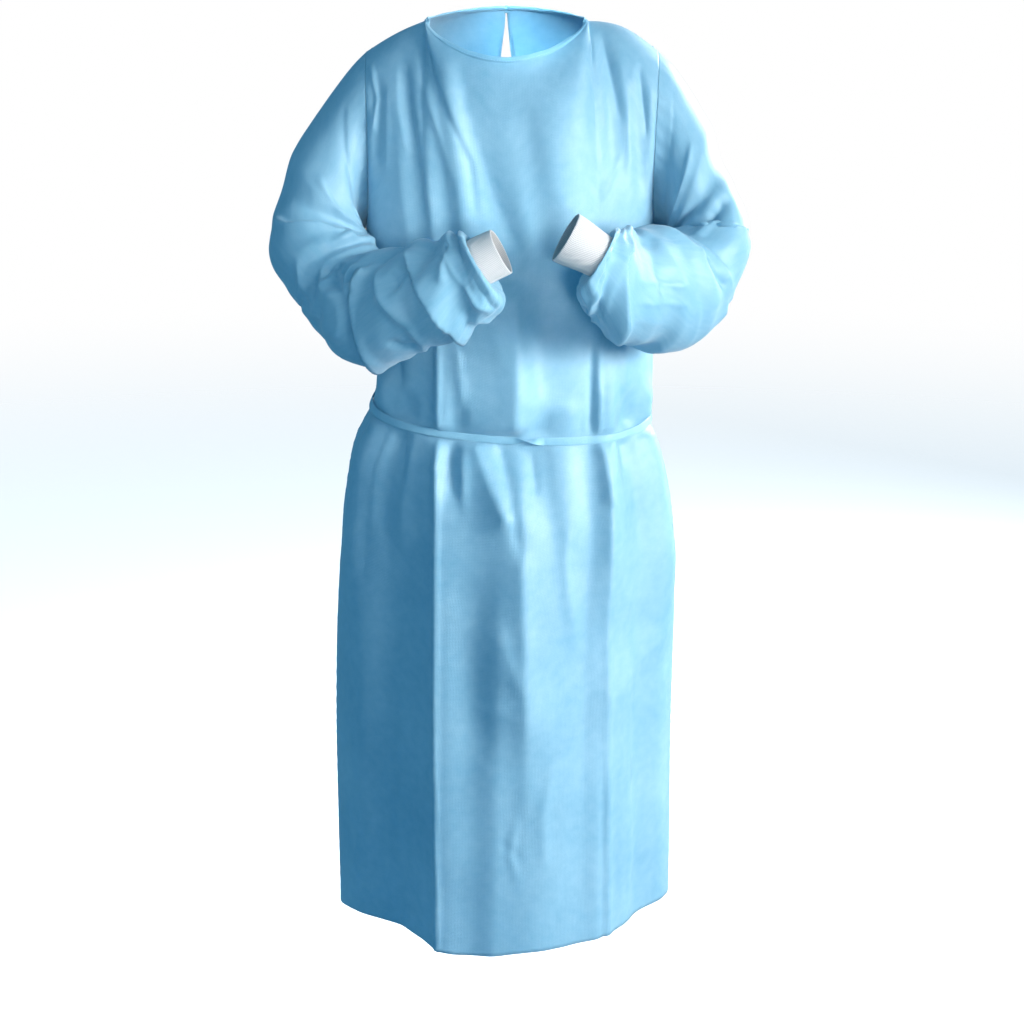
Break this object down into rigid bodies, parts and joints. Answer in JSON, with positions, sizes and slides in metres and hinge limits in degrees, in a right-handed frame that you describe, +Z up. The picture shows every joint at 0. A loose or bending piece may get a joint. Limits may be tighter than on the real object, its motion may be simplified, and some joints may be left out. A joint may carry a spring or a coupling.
{
  "type": "surgical gown",
  "caption": "Worn-form disposable surgical gown in light blue nonwoven cloth, hollow, with bent sleeves, white knit cuffs, bound round neck, waist tape and an open back.",
  "frame": {"origin": "middle of the shoulder line at the neck, where the wearer's shoulders hold the gown up", "axes": "+Z up, -Y the way the gown's front faces, +X the wearer's left"},
  "size_m": [0.5809, 0.4563, 1.1686],
  "materials": {
    "nonwoven_blue": "light blue point-bonded nonwoven, soft sheen, slightly see-through",
    "nonwoven_trim": "folded tape of the same nonwoven, a little paler where it lies double",
    "knit_white": "fine white rib knit, matt"
  },
  "bodies": {
    "root": {"front_panel": "nonwoven_blue", "back_panel_left": "nonwoven_blue", "back_panel_right": "nonwoven_blue", "sleeve_left": "nonwoven_blue", "sleeve_right": "nonwoven_blue", "cuff_left": "knit_white", "cuff_right": "knit_white", "neck_binding": "nonwoven_trim", "belt": "nonwoven_trim", "neck_knot": "nonwoven_trim", "belt_knot": "nonwoven_trim", "neck_tie_left": "nonwoven_trim", "neck_tie_right": "nonwoven_trim", "belt_end_left": "nonwoven_trim", "belt_end_right": "nonwoven_trim"}
  },
  "joints": []
}
